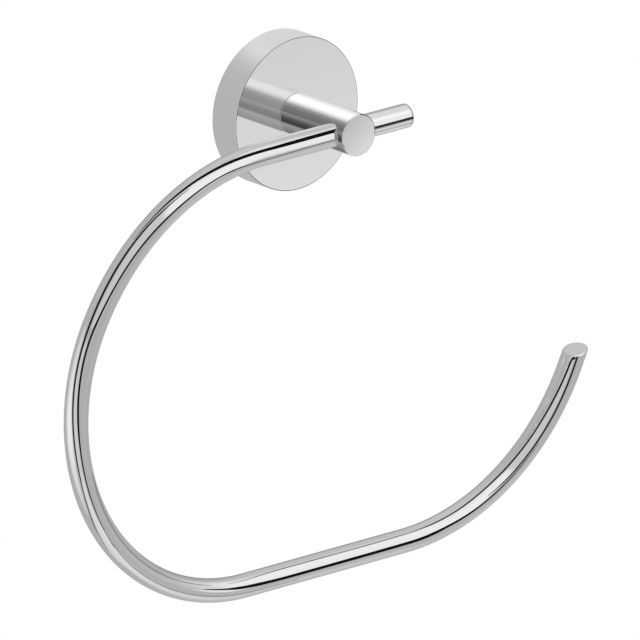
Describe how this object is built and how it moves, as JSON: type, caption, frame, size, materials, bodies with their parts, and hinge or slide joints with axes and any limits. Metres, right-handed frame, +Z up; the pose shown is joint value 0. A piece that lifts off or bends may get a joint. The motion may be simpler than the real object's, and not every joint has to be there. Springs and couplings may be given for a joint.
{
  "type": "towel ring",
  "caption": "Wall-mounted towel ring: a round rosette, a plain post and one bent round bar that forms an open ring.",
  "frame": {"origin": "centre of the rosette's back, on the wall plane", "axes": "+Y into the wall along the post's axis, the ring stands out along -Y, +Z up, +X towards the bar's stub end"},
  "size_m": [0.2334, 0.046, 0.186],
  "materials": {
    "chrome_plate": "mirror-bright chrome plate",
    "zinc_plated_steel": "bright zinc plate, dull",
    "screw_steel": "turned and rolled stainless steel"
  },
  "bodies": {
    "root": {"rosette": "chrome_plate", "post": "chrome_plate", "ring_rod": "chrome_plate", "wall_bracket": "zinc_plated_steel", "post_screw": "screw_steel", "lock_washer": "screw_steel", "rosette_grub_screw": "screw_steel", "rod_grub_screw": "screw_steel"}
  },
  "joints": []
}
